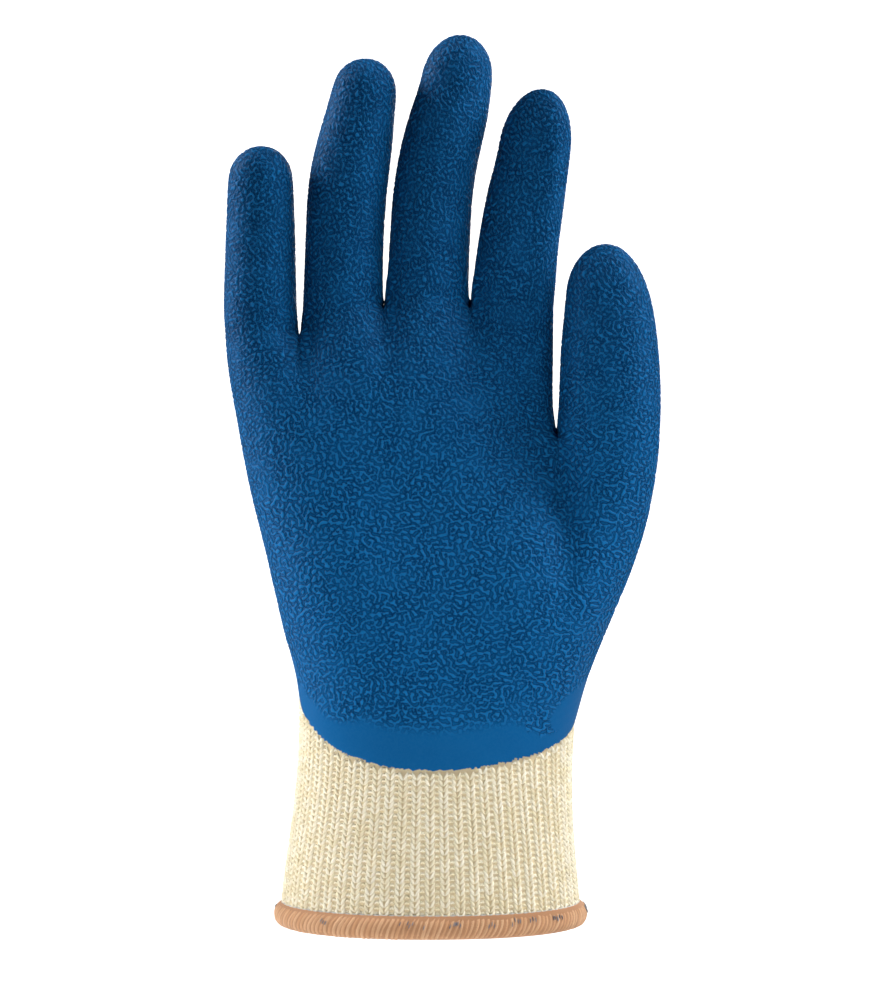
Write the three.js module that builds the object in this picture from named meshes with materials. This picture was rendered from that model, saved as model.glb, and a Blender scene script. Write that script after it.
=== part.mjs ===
import * as THREE from 'three';

// A right-hand knitted work glove with a rubber coating on the palm side, shown filled as on a hand.
// Lengths are in millimetres. The fingers point up, the palm faces -Y and the thumb is on the +X side.
// The middle of the cuff opening is at the origin.

// Main sizes
const gloveLength = 249;
const palmWidth = 88;
const palmDepth = 40;
const knitWall = 1.3;
const coatWall = 1.0;
const coatEdge = 0.6;
const gap = 0.3;
const cuffEdge = 1.5;
const hemHeight = 6;
const hemOut = 2.4;
const hemIn = 1.1;
const crotchDip = 2.2;
const firstRise = 1.8;
const thumbCrotch = 0.551 * gloveLength;
const lobesFrom = 0.29 * gloveLength;
const thumbShare = 0.24;

// How the rings of points are divided: steps across one finger, and loops of points round each part
const across = 5;
const fingerLoop = 2 * (across + 3);
const palmLoop = 2 * (4 * across + 3);
const bodyLoop = 2 * (5 * across + 3);

// Cuff and lower hand. height is a share of the glove's length, left and right are shares of the palm's
// width, front and back are shares of its depth, all from the middle of the cuff.
const body = [
  { height: 0.000, left: -0.470, right: 0.473, front: -0.690, back: 0.690 },
  { height: 0.042, left: -0.464, right: 0.467, front: -0.680, back: 0.680 },
  { height: 0.076, left: -0.450, right: 0.455, front: -0.660, back: 0.655 },
  { height: 0.110, left: -0.430, right: 0.449, front: -0.640, back: 0.635 },
  { height: 0.143, left: -0.424, right: 0.446, front: -0.625, back: 0.620 },
  { height: 0.177, left: -0.416, right: 0.446, front: -0.615, back: 0.605 },
  { height: 0.210, left: -0.416, right: 0.455, front: -0.612, back: 0.592 },
  { height: 0.244, left: -0.419, right: 0.474, front: -0.612, back: 0.578 },
  { height: 0.278, left: -0.424, right: 0.502, front: -0.610, back: 0.560 },
  { height: 0.312, left: -0.451, right: 0.537, front: -0.606, back: 0.542 },
  { height: 0.345, left: -0.474, right: 0.578, front: -0.600, back: 0.524 },
  { height: 0.379, left: -0.496, right: 0.617, front: -0.590, back: 0.508 },
  { height: 0.413, left: -0.518, right: 0.652, front: -0.575, back: 0.492 },
  { height: 0.447, left: -0.541, right: 0.682, front: -0.555, back: 0.474 },
  { height: 0.480, left: -0.565, right: 0.701, front: -0.532, back: 0.458 },
  { height: 0.514, left: -0.585, right: 0.716, front: -0.508, back: 0.442 },
  { height: 0.551, left: -0.605, right: 0.723, front: -0.480, back: 0.425 },
];

// Hand above the thumb, in the same shares
const palm = [
  { height: 0.551, left: -0.605, right: 0.396, front: -0.480, back: 0.425 },
  { height: 0.580, left: -0.617, right: 0.389, front: -0.458, back: 0.405 },
  { height: 0.615, left: -0.630, right: 0.386, front: -0.425, back: 0.380 },
  { height: 0.650, left: -0.642, right: 0.387, front: -0.385, back: 0.350 },
  { height: 0.700, left: -0.655, right: 0.390, front: -0.330, back: 0.310 },
];

// Heights of the rings below the thumb at the front, left and right, as shares of the glove's length.
// The ring at coatRow is the lower edge of the coating.
const rows = [
  { front: 0.000, left: 0.000, right: 0.000 },
  { front: 0.048, left: 0.058, right: 0.054 },
  { front: 0.108, left: 0.160, right: 0.140 },
  { front: 0.173, left: 0.267, right: 0.231 },
  { front: 0.222, left: 0.309, right: 0.280 },
  { front: 0.282, left: 0.354, right: 0.337 },
  { front: 0.345, left: 0.402, right: 0.390 },
  { front: 0.410, left: 0.446, right: 0.438 },
  { front: 0.466, left: 0.486, right: 0.482 },
  { front: 0.510, left: 0.522, right: 0.522 },
];
const coatRow = 3;

// Rings between the thumb and the fingers, as shares of the way
const palmRows = [0.09, 0.36, 0.68];

// Rings of a finger as shares of its length. Above tipFrom the coating goes all round.
const fingerRows = [0.12, 0.27, 0.42, 0.56, 0.69, 0.8, 0.885, 0.945, 0.983];
const thumbRows = [0.16, 0.34, 0.52, 0.68, 0.81, 0.91, 0.974];
const tipFrom = 0.83;

// Fingers and thumb. The heights of both sides of the root and of the tip are shares of the glove's length.
// The greatest width and the middle of the root are shares of the palm's width, and depth is a share of the
// finger's width. How far root and tip lie in front of the hand's middle are shares of the palm's depth.
// round is the share of the finger's length that the rounded tip takes.
// In the outlines, rise is a share of the finger's length, and shift and width are shares of its width.
const fingerTable = [
  {
    rootLeft: 0.6606, rootRight: 0.6659, tip: 0.8739, width: 0.2216, middle: -0.5409,
    depth: 0.98, forwardRoot: 0.0375, forwardTip: 0.150, round: 0.189,
    outline: [
      { rise: 0.000, shift: 0.000, width: 0.985 },
      { rise: 0.158, shift: -0.008, width: 1.020 },
      { rise: 0.324, shift: -0.005, width: 0.995 },
      { rise: 0.486, shift: 0.000, width: 0.974 },
      { rise: 0.649, shift: 0.005, width: 0.945 },
      { rise: 0.811, shift: 0.008, width: 0.908 },
      { rise: 1.000, shift: 0.025, width: 0.908 },
    ],
  },
  {
    rootLeft: 0.6659, rootRight: 0.6996, tip: 0.9727, width: 0.2500, middle: -0.2795,
    depth: 0.95, forwardRoot: 0.0125, forwardTip: 0.125, round: 0.127,
    outline: [
      { rise: 0.000, shift: 0.000, width: 1.010 },
      { rise: 0.175, shift: 0.009, width: 0.973 },
      { rise: 0.291, shift: 0.018, width: 0.960 },
      { rise: 0.407, shift: 0.036, width: 0.968 },
      { rise: 0.526, shift: 0.075, width: 0.985 },
      { rise: 0.640, shift: 0.132, width: 0.955 },
      { rise: 0.756, shift: 0.200, width: 0.891 },
      { rise: 0.873, shift: 0.273, width: 0.800 },
      { rise: 1.000, shift: 0.295, width: 0.780 },
    ],
  },
  {
    rootLeft: 0.6996, rootRight: 0.6996, tip: 1.0000, width: 0.2557, middle: -0.0125,
    depth: 0.95, forwardRoot: 0.0000, forwardTip: 0.100, round: 0.157,
    outline: [
      { rise: 0.000, shift: 0.000, width: 1.031 },
      { rise: 0.112, shift: 0.004, width: 1.009 },
      { rise: 0.278, shift: 0.042, width: 0.982 },
      { rise: 0.506, shift: 0.124, width: 0.969 },
      { rise: 0.618, shift: 0.216, width: 0.982 },
      { rise: 0.731, shift: 0.298, width: 0.942 },
      { rise: 0.843, shift: 0.380, width: 0.858 },
      { rise: 1.000, shift: 0.425, width: 0.830 },
    ],
  },
  {
    rootLeft: 0.6996, rootRight: 0.6888, tip: 0.9378, width: 0.2557, middle: 0.2580,
    depth: 0.95, forwardRoot: 0.0125, forwardTip: 0.125, round: 0.261,
    outline: [
      { rise: 0.000, shift: 0.000, width: 1.022 },
      { rise: 0.142, shift: 0.031, width: 1.031 },
      { rise: 0.283, shift: 0.067, width: 1.009 },
      { rise: 0.425, shift: 0.138, width: 0.973 },
      { rise: 0.567, shift: 0.204, width: 0.933 },
      { rise: 0.705, shift: 0.276, width: 0.880 },
      { rise: 0.850, shift: 0.318, width: 0.862 },
      { rise: 1.000, shift: 0.360, width: 0.855 },
    ],
  },
];
const thumbTable = {
  rootLeft: 0.551, rootRight: 0.551, tip: 0.7614, width: 0.3125, middle: 0.5636,
  depth: 0.88, forwardRoot: 0.1000, forwardTip: 0.225, round: 0.336,
  outline: [
    { rise: 0.000, shift: 0.000, width: 1.018 },
    { rise: 0.145, shift: 0.015, width: 1.007 },
    { rise: 0.305, shift: 0.015, width: 0.989 },
    { rise: 0.466, shift: 0.009, width: 0.956 },
    { rise: 0.626, shift: 0.004, width: 0.882 },
    { rise: 0.706, shift: -0.006, width: 0.850 },
    { rise: 0.850, shift: -0.034, width: 0.832 },
    { rise: 1.000, shift: -0.044, width: 0.825 },
  ],
};

// Soft swellings and hollows of the palm side: place and reach as shares of the palm's width and the
// glove's length, and how far each one stands forward as a share of the palm's depth
const swellings = [
  { name: 'ball of the thumb', x: 0.44, z: 0.385, reachX: 0.24, reachZ: 0.100, out: 0.105 },
  { name: 'heel of the hand', x: -0.34, z: 0.360, reachX: 0.20, reachZ: 0.110, out: 0.065 },
  { name: 'hollow of the palm', x: -0.06, z: 0.470, reachX: 0.22, reachZ: 0.085, out: -0.075 },
  { name: 'pad under the first finger', x: 0.24, z: 0.640, reachX: 0.12, reachZ: 0.045, out: 0.040 },
  { name: 'pad under the middle fingers', x: -0.14, z: 0.640, reachX: 0.20, reachZ: 0.045, out: 0.050 },
  { name: 'pad under the last finger', x: -0.52, z: 0.610, reachX: 0.14, reachZ: 0.050, out: 0.035 },
];

const mix = (a, b, t) => a + (b - a) * t;

// A finger's table row with its own lengths in place of the shares
function sized(row) {
  return {
    ...row,
    rootLeft: row.rootLeft * gloveLength,
    rootRight: row.rootRight * gloveLength,
    tip: row.tip * gloveLength,
    width: row.width * palmWidth,
    middle: row.middle * palmWidth,
    forwardRoot: row.forwardRoot * palmDepth,
    forwardTip: row.forwardTip * palmDepth,
  };
}

const fingers = fingerTable.map(sized);
const thumb = sized(thumbTable);

function ease(from, to, at) {
  const t = Math.min(1, Math.max(0, (at - from) / (to - from)));
  return t * t * (3 - 2 * t);
}

// One column of a table, read between its rows with a smooth curve
function read(table, key, column, at) {
  const last = table.length - 1;
  let i = 0;
  while (i < last - 1 && table[i + 1][key] < at) {
    i += 1;
  }
  const slope = (a, b) => (table[b][column] - table[a][column]) / (table[b][key] - table[a][key]);
  const step = table[i + 1][key] - table[i][key];
  const here = slope(i, i + 1);
  const before = i > 0 ? slope(i - 1, i) : here;
  const after = i + 2 <= last ? slope(i + 1, i + 2) : here;
  const start = before * here > 0 ? 2 * before * here / (before + here) : 0;
  const end = here * after > 0 ? 2 * here * after / (here + after) : 0;
  const first = i > 0 ? start : here;
  const final = i + 2 <= last ? end : here;
  const t = Math.min(1, Math.max(0, (at - table[i][key]) / step));
  const low = table[i][column];
  const high = table[i + 1][column];
  const u = 1 - t;
  const held = (1 + 2 * t) * u * u * low + t * t * (3 - 2 * t) * high;
  return held + t * u * step * (u * first - t * final);
}

// Points evenly spaced round a rounded oblong of half width and half depth 1. The first one is half a step
// in front of the left end, and they run over the front to the right.
function evenLoop(count, squareness, widthOverDepth) {
  const fine = 720;
  const power = 2 / squareness;
  const dense = [];
  for (let i = 0; i <= fine; i += 1) {
    const a = (i / fine) * 2 * Math.PI;
    const c = Math.cos(a);
    const s = Math.sin(a);
    dense.push([-Math.sign(c) * Math.abs(c) ** power, -Math.sign(s) * Math.abs(s) ** power]);
  }
  const far = [0];
  for (let i = 1; i <= fine; i += 1) {
    const dx = (dense[i][0] - dense[i - 1][0]) * widthOverDepth;
    const dy = dense[i][1] - dense[i - 1][1];
    far.push(far[i - 1] + Math.hypot(dx, dy));
  }
  const points = [];
  let k = 1;
  for (let m = 0; m < count; m += 1) {
    const wanted = ((m + 0.5) / count) * far[fine];
    while (far[k] < wanted) {
      k += 1;
    }
    const t = (wanted - far[k - 1]) / (far[k] - far[k - 1]);
    points.push([mix(dense[k - 1][0], dense[k][0], t), mix(dense[k - 1][1], dense[k][1], t)]);
  }
  const widest = Math.max(...points.map((p) => Math.abs(p[0])));
  return points.map((p) => [p[0] / widest, p[1]]);
}

const bodyShape = evenLoop(bodyLoop, 2.15, 1.45);
const palmShape = evenLoop(palmLoop, 2.35, 2.4);
const fingerShape = evenLoop(fingerLoop, 2.1, 1);

// All points of the outer form, and for each one how far the knit lies below it
const points = [];
const below = [];
const cells = [];

function addPoint(p, depth) {
  points.push(new THREE.Vector3(p[0], p[1], p[2]));
  below.push(depth);
  return points.length - 1;
}

const coated = gap + coatWall;

// A loop of points, split into its front and back rows from left to right and its two pairs at the sides
function asRing(loop) {
  const n = loop.length / 2 - 2;
  return {
    front: loop.slice(1, n + 1),
    right: loop.slice(n + 1, n + 3),
    back: loop.slice(n + 3, 2 * n + 3).reverse(),
    left: [loop[0], loop[2 * n + 3]],
  };
}

function asLoop(ring) {
  return [ring.left[0], ...ring.front, ...ring.right, ...ring.back.slice().reverse(), ring.left[1]];
}

// The part of a ring from one column to another, closed by the pairs given
function partOf(ring, from, to, left, right) {
  return { front: ring.front.slice(from, to + 1), right, back: ring.back.slice(from, to + 1), left };
}

function swell(p) {
  const facing = ease(0, 0.3 * palmDepth, -p[1]);
  let out = 0;
  for (const s of swellings) {
    const dx = (p[0] / palmWidth - s.x) / s.reachX;
    const dz = (p[2] / gloveLength - s.z) / s.reachZ;
    out += s.out * Math.exp(-dx * dx - dz * dz);
  }
  return [p[0], p[1] - out * facing * palmDepth, p[2]];
}

// A point of an oblong section between left and right, front and back
function onSection(unit, left, right, front, back) {
  const x = mix(left, right, 0.5 + unit[0] / 2);
  const y = mix(front, back, 0.5 + unit[1] / 2);
  return [x, y];
}

function sectionAt(table, unit, z) {
  const at = z / gloveLength;
  const get = (column) => read(table, 'height', column, at);
  const left = get('left') * palmWidth;
  const right = get('right') * palmWidth;
  return onSection(unit, left, right, get('front') * palmDepth, get('back') * palmDepth);
}

function fingerAt(finger, unit, z) {
  const root = (finger.rootLeft + finger.rootRight) / 2;
  const rise = Math.max(0, (z - root) / (finger.tip - root));
  const inTip = Math.max(0, rise / finger.round + 1 - 1 / finger.round);
  const wide = read(finger.outline, 'rise', 'width', rise) * finger.width;
  const half = wide / 2 * Math.sqrt(Math.max(0, 1 - inTip * inTip));
  const middle = finger.middle + read(finger.outline, 'rise', 'shift', rise) * finger.width;
  const forward = mix(finger.forwardRoot, finger.forwardTip, rise * rise);
  const deep = half * finger.depth;
  return onSection(unit, middle - half, middle + half, -forward - deep, -forward + deep);
}

const average = (a, b) => a.map((v, i) => (v + b[i]) / 2);

// The lower hand where it divides into the palm and the root of the thumb, at one height
function divided(z) {
  const at = z / gloveLength;
  const get = (column) => read(body, 'height', column, at);
  const left = get('left') * palmWidth;
  const right = get('right') * palmWidth;
  const split = mix(right, left, thumbShare);
  const front = get('front') * palmDepth;
  const back = get('back') * palmDepth;
  const palmPart = asRing(palmShape.map((u) => onSection(u, left, split, front, back)));
  const half = (right - split) / 2;
  const middle = -thumb.forwardRoot;
  const deep = half * thumb.depth;
  const thumbPart = asRing(fingerShape.map((u) => onSection(u, split, right, middle - deep, middle + deep)));
  const shared = (side) => [
    ...palmPart[side].slice(0, -1),
    average(palmPart[side].at(-1), thumbPart[side][0]),
    ...thumbPart[side].slice(1),
  ];
  const bridge = [0, 1].map((i) => average(palmPart.right[i], thumbPart.left[i]));
  const ring = { front: shared('front'), right: thumbPart.right, back: shared('back'), left: palmPart.left };
  return { loop: asLoop(ring), bridge };
}

// A band of four-sided cells between two loops of equal length
function addBand(lower, upper, isCoated) {
  const n = lower.length;
  for (let m = 0; m < n; m += 1) {
    const next = (m + 1) % n;
    cells.push({ ids: [lower[m], lower[next], upper[next], upper[m]], coated: isCoated(m, n) });
  }
}

const onPalmSide = (m, n) => m <= n / 2 || m >= n - 2;
const onThumbBack = (m, n) => m > n / 2 && m <= n / 2 + across;

// Rings of the cuff and the lower hand
const bodyRings = rows.map((row, k) => bodyShape.map((unit, m) => {
  const aside = mix(row.left, row.right, 0.5 + unit[0] / 2);
  const turn = unit[1] < 0 ? 1 + unit[1] : 1 + 0.5 * unit[1] * (1 - 0.5 * unit[1]);
  const z = cuffEdge * (1 - k / (rows.length - 1)) + mix(row.front, aside, turn) * gloveLength;
  const plain = sectionAt(body, unit, z);
  const lobed = divided(z).loop[m];
  const share = ease(lobesFrom, thumbCrotch, z);
  const p = swell([mix(plain[0], lobed[0], share), mix(plain[1], lobed[1], share), z]);
  const under = k < coatRow ? 0 : k === coatRow ? gap + coatEdge : coated;
  return addPoint(p, under);
}));
bodyRings.slice(1).forEach((ring, k) => {
  const last = k === rows.length - 2;
  addBand(bodyRings[k], ring, (m, n) => k >= coatRow && (onPalmSide(m, n) || (last && onThumbBack(m, n))));
});

// The ring where the thumb leaves the hand
const thumbColumn = 4 * across;
const split = divided(thumbCrotch);
const splitRing = asRing(split.loop.map((p) => [...p, thumbCrotch]));
splitRing.front[thumbColumn][2] -= crotchDip;
splitRing.back[thumbColumn][2] -= crotchDip;
const splitIds = asRing(asLoop(splitRing).map((p) => addPoint(swell(p), coated)));
const thumbBridge = split.bridge.map((p) => addPoint([...p, thumbCrotch], coated));
addBand(bodyRings.at(-1), asLoop(splitIds), (m, n) => onPalmSide(m, n) || onThumbBack(m, n));
const palmStart = partOf(splitIds, 0, thumbColumn, splitIds.left, thumbBridge);
const thumbStart = partOf(splitIds, thumbColumn, 5 * across, thumbBridge, splitIds.right);

// The ring where the fingers leave the hand
const rootRings = fingers.map((finger) => asRing(fingerShape.map((unit) => {
  const side = mix(finger.rootLeft, finger.rootRight, 0.5 + unit[0] / 2);
  return [...fingerAt(finger, unit, side), side];
})));
const rootRow = (side) => {
  const row = [];
  rootRings.forEach((ring, f) => {
    const own = ring[side].map((p) => p.slice());
    if (f > 0) {
      const shared = average(row.pop(), own.shift());
      row.push([shared[0], shared[1], fingers[f].rootLeft - crotchDip]);
    }
    row.push(...own);
  });
  return row;
};
const rootLoop = asLoop({
  front: rootRow('front'),
  right: rootRings.at(-1).right,
  back: rootRow('back'),
  left: rootRings[0].left,
});

// Rings of the hand between the thumb and the fingers
const palmRings = [asLoop(palmStart)];
for (const share of palmRows) {
  palmRings.push(palmShape.map((unit, m) => {
    const z = mix(thumbCrotch, rootLoop[m][2], share);
    const plain = sectionAt(palm, unit, z);
    const lobes = share ** 1.9;
    const p = [mix(plain[0], rootLoop[m][0], lobes), mix(plain[1], rootLoop[m][1], lobes), z];
    return addPoint(swell(p), coated);
  }));
}
palmRings.push(rootLoop.map((p) => addPoint(swell(p), coated)));
palmRings.slice(1).forEach((ring, k) => addBand(palmRings[k], ring, onPalmSide));

// Fingers and thumb, each closed by a tip point
function addFinger(finger, start, riseRows) {
  const rootLoopIds = asLoop(start);
  const long = finger.tip - (finger.rootLeft + finger.rootRight) / 2;
  let lower = rootLoopIds;
  const isThumb = finger === thumb;
  for (const rise of [firstRise / long, ...riseRows]) {
    const upper = fingerShape.map((unit) => {
      const root = mix(finger.rootLeft, finger.rootRight, 0.5 + unit[0] / 2);
      const z = mix(root, finger.tip, rise);
      return addPoint([...fingerAt(finger, unit, z), z], coated);
    });
    addBand(lower, upper, (m, n) => isThumb || rise > tipFrom || onPalmSide(m, n));
    lower = upper;
  }
  const tip = fingerAt(finger, [0, 0], finger.tip);
  const tipId = addPoint([...tip, finger.tip], coated);
  lower.forEach((id, m) => {
    cells.push({ ids: [id, lower[(m + 1) % lower.length], tipId], coated: true });
  });
}

addFinger(thumb, thumbStart, thumbRows);
const rootIds = asRing(palmRings.at(-1));
let leftPair = rootIds.left;
fingers.forEach((finger, f) => {
  let rightPair = rootIds.right;
  if (f < fingers.length - 1) {
    const mine = rootRings[f].right;
    const next = rootRings[f + 1].left;
    rightPair = [0, 1].map((i) => {
      const p = average(mine[i], next[i]);
      return addPoint([p[0], p[1], finger.rootRight], coated);
    });
  }
  addFinger(finger, partOf(rootIds, f * across, (f + 1) * across, leftPair, rightPair), fingerRows);
  leftPair = rightPair;
});

// Outward directions at the points, from the cells round each one
function directions(at) {
  const sums = at.map(() => new THREE.Vector3());
  for (const { ids } of cells) {
    const n = ids.length;
    ids.forEach((id, i) => {
      const before = at[ids[(i + n - 1) % n]].clone().sub(at[id]);
      const after = at[ids[(i + 1) % n]].clone().sub(at[id]);
      const angle = before.angleTo(after);
      sums[id].addScaledVector(after.cross(before).normalize(), angle);
    });
  }
  return sums.map((v) => v.normalize());
}

function moved(at, along, distances) {
  return at.map((p, i) => p.clone().addScaledVector(along[i], distances[i]));
}

// A closed skin between an outer and an inner copy of some cells, joined along their free edges
function closedSkin(used, outer, inner) {
  const edges = new Set();
  for (const { ids } of used) {
    ids.forEach((id, i) => edges.add(`${id} ${ids[(i + 1) % ids.length]}`));
  }
  const position = [];
  const put = (...corners) => {
    for (let i = 1; i + 1 < corners.length; i += 1) {
      for (const p of [corners[0], corners[i], corners[i + 1]]) {
        position.push(p.x, p.y, p.z);
      }
    }
  };
  for (const { ids } of used) {
    put(...ids.map((id) => outer[id]));
    put(inner[ids[0]], ...ids.slice(1).reverse().map((id) => inner[id]));
    ids.forEach((id, i) => {
      const next = ids[(i + 1) % ids.length];
      if (!edges.has(`${next} ${id}`)) {
        put(outer[next], outer[id], inner[id], inner[next]);
      }
    });
  }
  const geometry = new THREE.BufferGeometry();
  geometry.setAttribute('position', new THREE.Float32BufferAttribute(position, 3));
  geometry.computeVertexNormals();
  return geometry;
}

const outlineWay = directions(points);
const knitOuter = moved(points, outlineWay, below.map((d) => -d));
const knitWay = directions(knitOuter);
const knitInner = moved(knitOuter, knitWay, below.map(() => -knitWall));
const linerGeometry = closedSkin(cells, knitOuter, knitInner);

// The coating thins out at its edge
const coatCells = cells.filter((cell) => cell.coated);
const bareCorners = new Set(cells.filter((cell) => !cell.coated).flatMap((cell) => cell.ids));
const coatInner = moved(knitOuter, knitWay, below.map(() => gap));
const coatThick = below.map((d, i) => gap + (bareCorners.has(i) ? coatEdge : coatWall));
const coatOuter = moved(knitOuter, knitWay, coatThick);
const coatGeometry = closedSkin(coatCells, coatOuter, coatInner);

// The hem bead is a channel round the edge of the cuff. out is measured from the knit's outer face, with 1
// the bead's reach, in is measured from its inner face, and up is a share of the bead's height.
const beadOuter = [
  { out: 0.50, up: 1.00 },
  { out: 0.96, up: 0.74 },
  { out: 1.00, up: 0.40 },
  { out: 0.50, up: 0.05 },
];
const beadInner = [
  { in: 0.60, up: 0.03 },
  { in: 1.00, up: 0.55 },
];

function hemSection(m) {
  const low = bodyRings[0][m];
  const high = bodyRings[1][m];
  const outward = outlineWay[low].clone().setZ(0).normalize();
  const at = (start, offset, up) => {
    const t = (up * hemHeight - cuffEdge) / (knitOuter[high].z - knitOuter[low].z);
    const p = start[low].clone().lerp(start[high], Math.max(0, t));
    return p.addScaledVector(outward, offset).setZ(up * hemHeight);
  };
  const slotFloor = (cuffEdge - gap) / hemHeight;
  return [
    ...beadOuter.map((b) => at(knitOuter, b.out * hemOut, b.up)),
    ...beadInner.map((b) => at(knitInner, -b.in * hemIn, b.up)),
    at(knitInner, -gap * 1.3, beadInner.at(-1).up + 0.1),
    at(knitInner, -gap * 1.3, slotFloor),
    at(knitOuter, gap * 1.3, slotFloor),
    at(knitOuter, gap * 1.3, 0.97),
  ];
}

function hemShell() {
  const sections = bodyRings[0].map((id, m) => hemSection(m));
  const position = [];
  sections.forEach((here, m) => {
    const next = sections[(m + 1) % sections.length];
    here.forEach((a, i) => {
      const j = (i + 1) % here.length;
      const corners = [a, here[j], next[j], next[i]];
      for (const k of [0, 1, 2, 0, 2, 3]) {
        position.push(corners[k].x, corners[k].y, corners[k].z);
      }
    });
  });
  const geometry = new THREE.BufferGeometry();
  geometry.setAttribute('position', new THREE.Float32BufferAttribute(position, 3));
  geometry.computeVertexNormals();
  return geometry;
}

const knit = new THREE.MeshStandardMaterial({ color: '#e9dcbd', roughness: 0.95, metalness: 0 });
const latex = new THREE.MeshStandardMaterial({ color: '#0f5b95', roughness: 0.5, metalness: 0 });
const thread = new THREE.MeshStandardMaterial({ color: '#d29a6e', roughness: 0.9, metalness: 0 });

function named(name, geometry, material) {
  const mesh = new THREE.Mesh(geometry, material);
  mesh.name = name;
  return mesh;
}

const glove = new THREE.Group();
glove.name = 'grip_glove';
glove.add(named('knit_liner', linerGeometry, knit));
glove.add(named('latex_coating', coatGeometry, latex));
glove.add(named('cuff_hem', hemShell(), thread));

export default glove;
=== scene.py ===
import math

import bmesh
import bpy
import numpy as np
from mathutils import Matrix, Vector
from mathutils.bvhtree import BVHTree
from mathutils.kdtree import KDTree
from mathutils.noise import noise as softly


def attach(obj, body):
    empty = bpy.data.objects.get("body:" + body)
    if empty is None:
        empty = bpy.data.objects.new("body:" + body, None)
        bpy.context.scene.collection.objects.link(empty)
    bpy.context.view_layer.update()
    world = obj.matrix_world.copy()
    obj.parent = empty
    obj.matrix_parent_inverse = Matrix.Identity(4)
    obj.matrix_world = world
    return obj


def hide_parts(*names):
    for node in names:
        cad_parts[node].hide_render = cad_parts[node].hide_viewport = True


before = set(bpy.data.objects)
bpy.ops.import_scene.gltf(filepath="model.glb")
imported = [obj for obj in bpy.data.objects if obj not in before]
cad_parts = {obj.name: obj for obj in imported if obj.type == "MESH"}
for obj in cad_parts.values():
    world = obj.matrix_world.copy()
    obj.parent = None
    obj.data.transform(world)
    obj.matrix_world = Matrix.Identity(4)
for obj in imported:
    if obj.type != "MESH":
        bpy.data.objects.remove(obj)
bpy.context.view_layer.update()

print("frame loaded")


# Small helpers for meshes and node trees
def srgb(r, g, b):
    # picture values from 0 to 255 to linear colour
    def one(v):
        v = v / 255
        return v / 12.92 if v <= 0.04045 else ((v + 0.055) / 1.055) ** 2.4
    return (one(r), one(g), one(b), 1.0)


def wire(tree, socket, value):
    if isinstance(value, bpy.types.NodeSocket):
        tree.links.new(value, socket)
    else:
        socket.default_value = value


def addNode(tree, kind, inputs=None, **settings):
    node = tree.nodes.new(kind)
    for key, value in settings.items():
        setattr(node, key, value)
    for key, value in (inputs or {}).items():
        wire(tree, node.inputs[key], value)
    return node


def maths(tree, operation, a, b=None):
    given = {i: v for i, v in enumerate((a, b)) if v is not None}
    return addNode(tree, "ShaderNodeMath", given, operation=operation).outputs[0]


def product(tree, *values):
    result = values[0]
    for value in values[1:]:
        result = maths(tree, "MULTIPLY", result, value)
    return result


def ramp(tree, value, low, high, toLow=0.0, toHigh=1.0):
    node = tree.nodes.new("ShaderNodeMapRange")
    node.interpolation_type = "SMOOTHSTEP"
    for index, number in enumerate((value, low, high, toLow, toHigh)):
        wire(tree, node.inputs[index], number)
    return node.outputs[0]


def mixColour(tree, share, first, second):
    node = tree.nodes.new("ShaderNodeMix")
    node.data_type = "RGBA"
    for index, value in ((0, share), (6, first), (7, second)):
        wire(tree, node.inputs[index], value)
    return node.outputs[2]


def noise(tree, where, scale, detail=2.0, roughness=0.5):
    inputs = {"Vector": where, "Scale": scale, "Detail": detail, "Roughness": roughness}
    return addNode(tree, "ShaderNodeTexNoise", inputs)


def newMaterial(name):
    material = bpy.data.materials.new(name)
    material.use_nodes = True
    tree = material.node_tree
    tree.nodes.clear()
    output = tree.nodes.new("ShaderNodeOutputMaterial")
    shader = tree.nodes.new("ShaderNodeBsdfPrincipled")
    tree.links.new(shader.outputs[0], output.inputs[0])
    return material, tree, shader


def newPiece(name, mesh, material):
    piece = bpy.data.objects.new(name, mesh)
    bpy.context.scene.collection.objects.link(piece)
    mesh.materials.clear()
    mesh.materials.append(material)
    return piece


def settle(piece, slot, *nodes):
    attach(piece, "root")
    if nodes:
        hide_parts(*nodes)
    print(piece.name, "has", sum(len(p.vertices) - 2 for p in piece.data.polygons), "triangles")


def evaluated(obj, name):
    # the plain mesh that the object's modifiers make
    graph = bpy.context.evaluated_depsgraph_get()
    mesh = bpy.data.meshes.new_from_object(obj.evaluated_get(graph))
    mesh.name = name
    return mesh


def points(mesh):
    flat = np.empty(len(mesh.vertices) * 3, np.float32)
    mesh.vertices.foreach_get("co", flat)
    return flat.reshape(-1, 3).astype(float)


def setPoints(mesh, at):
    mesh.vertices.foreach_set("co", np.asarray(at, np.float32).ravel())
    mesh.update()


def smoothShading(mesh):
    mesh.polygons.foreach_set("use_smooth", np.ones(len(mesh.polygons), bool))


def cageOf(node):
    # a merged copy of a solid of the frame, with its triangles joined in pairs at any angle
    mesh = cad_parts[node].data.copy()
    mergeWithin = 2e-6
    anyAngle = 3.2
    b = bmesh.new()
    b.from_mesh(mesh)
    bmesh.ops.remove_doubles(b, verts=b.verts, dist=mergeWithin)
    bmesh.ops.join_triangles(b, faces=b.faces, angle_face_threshold=anyAngle, angle_shape_threshold=anyAngle)
    b.to_mesh(mesh)
    b.free()
    return mesh


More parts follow.
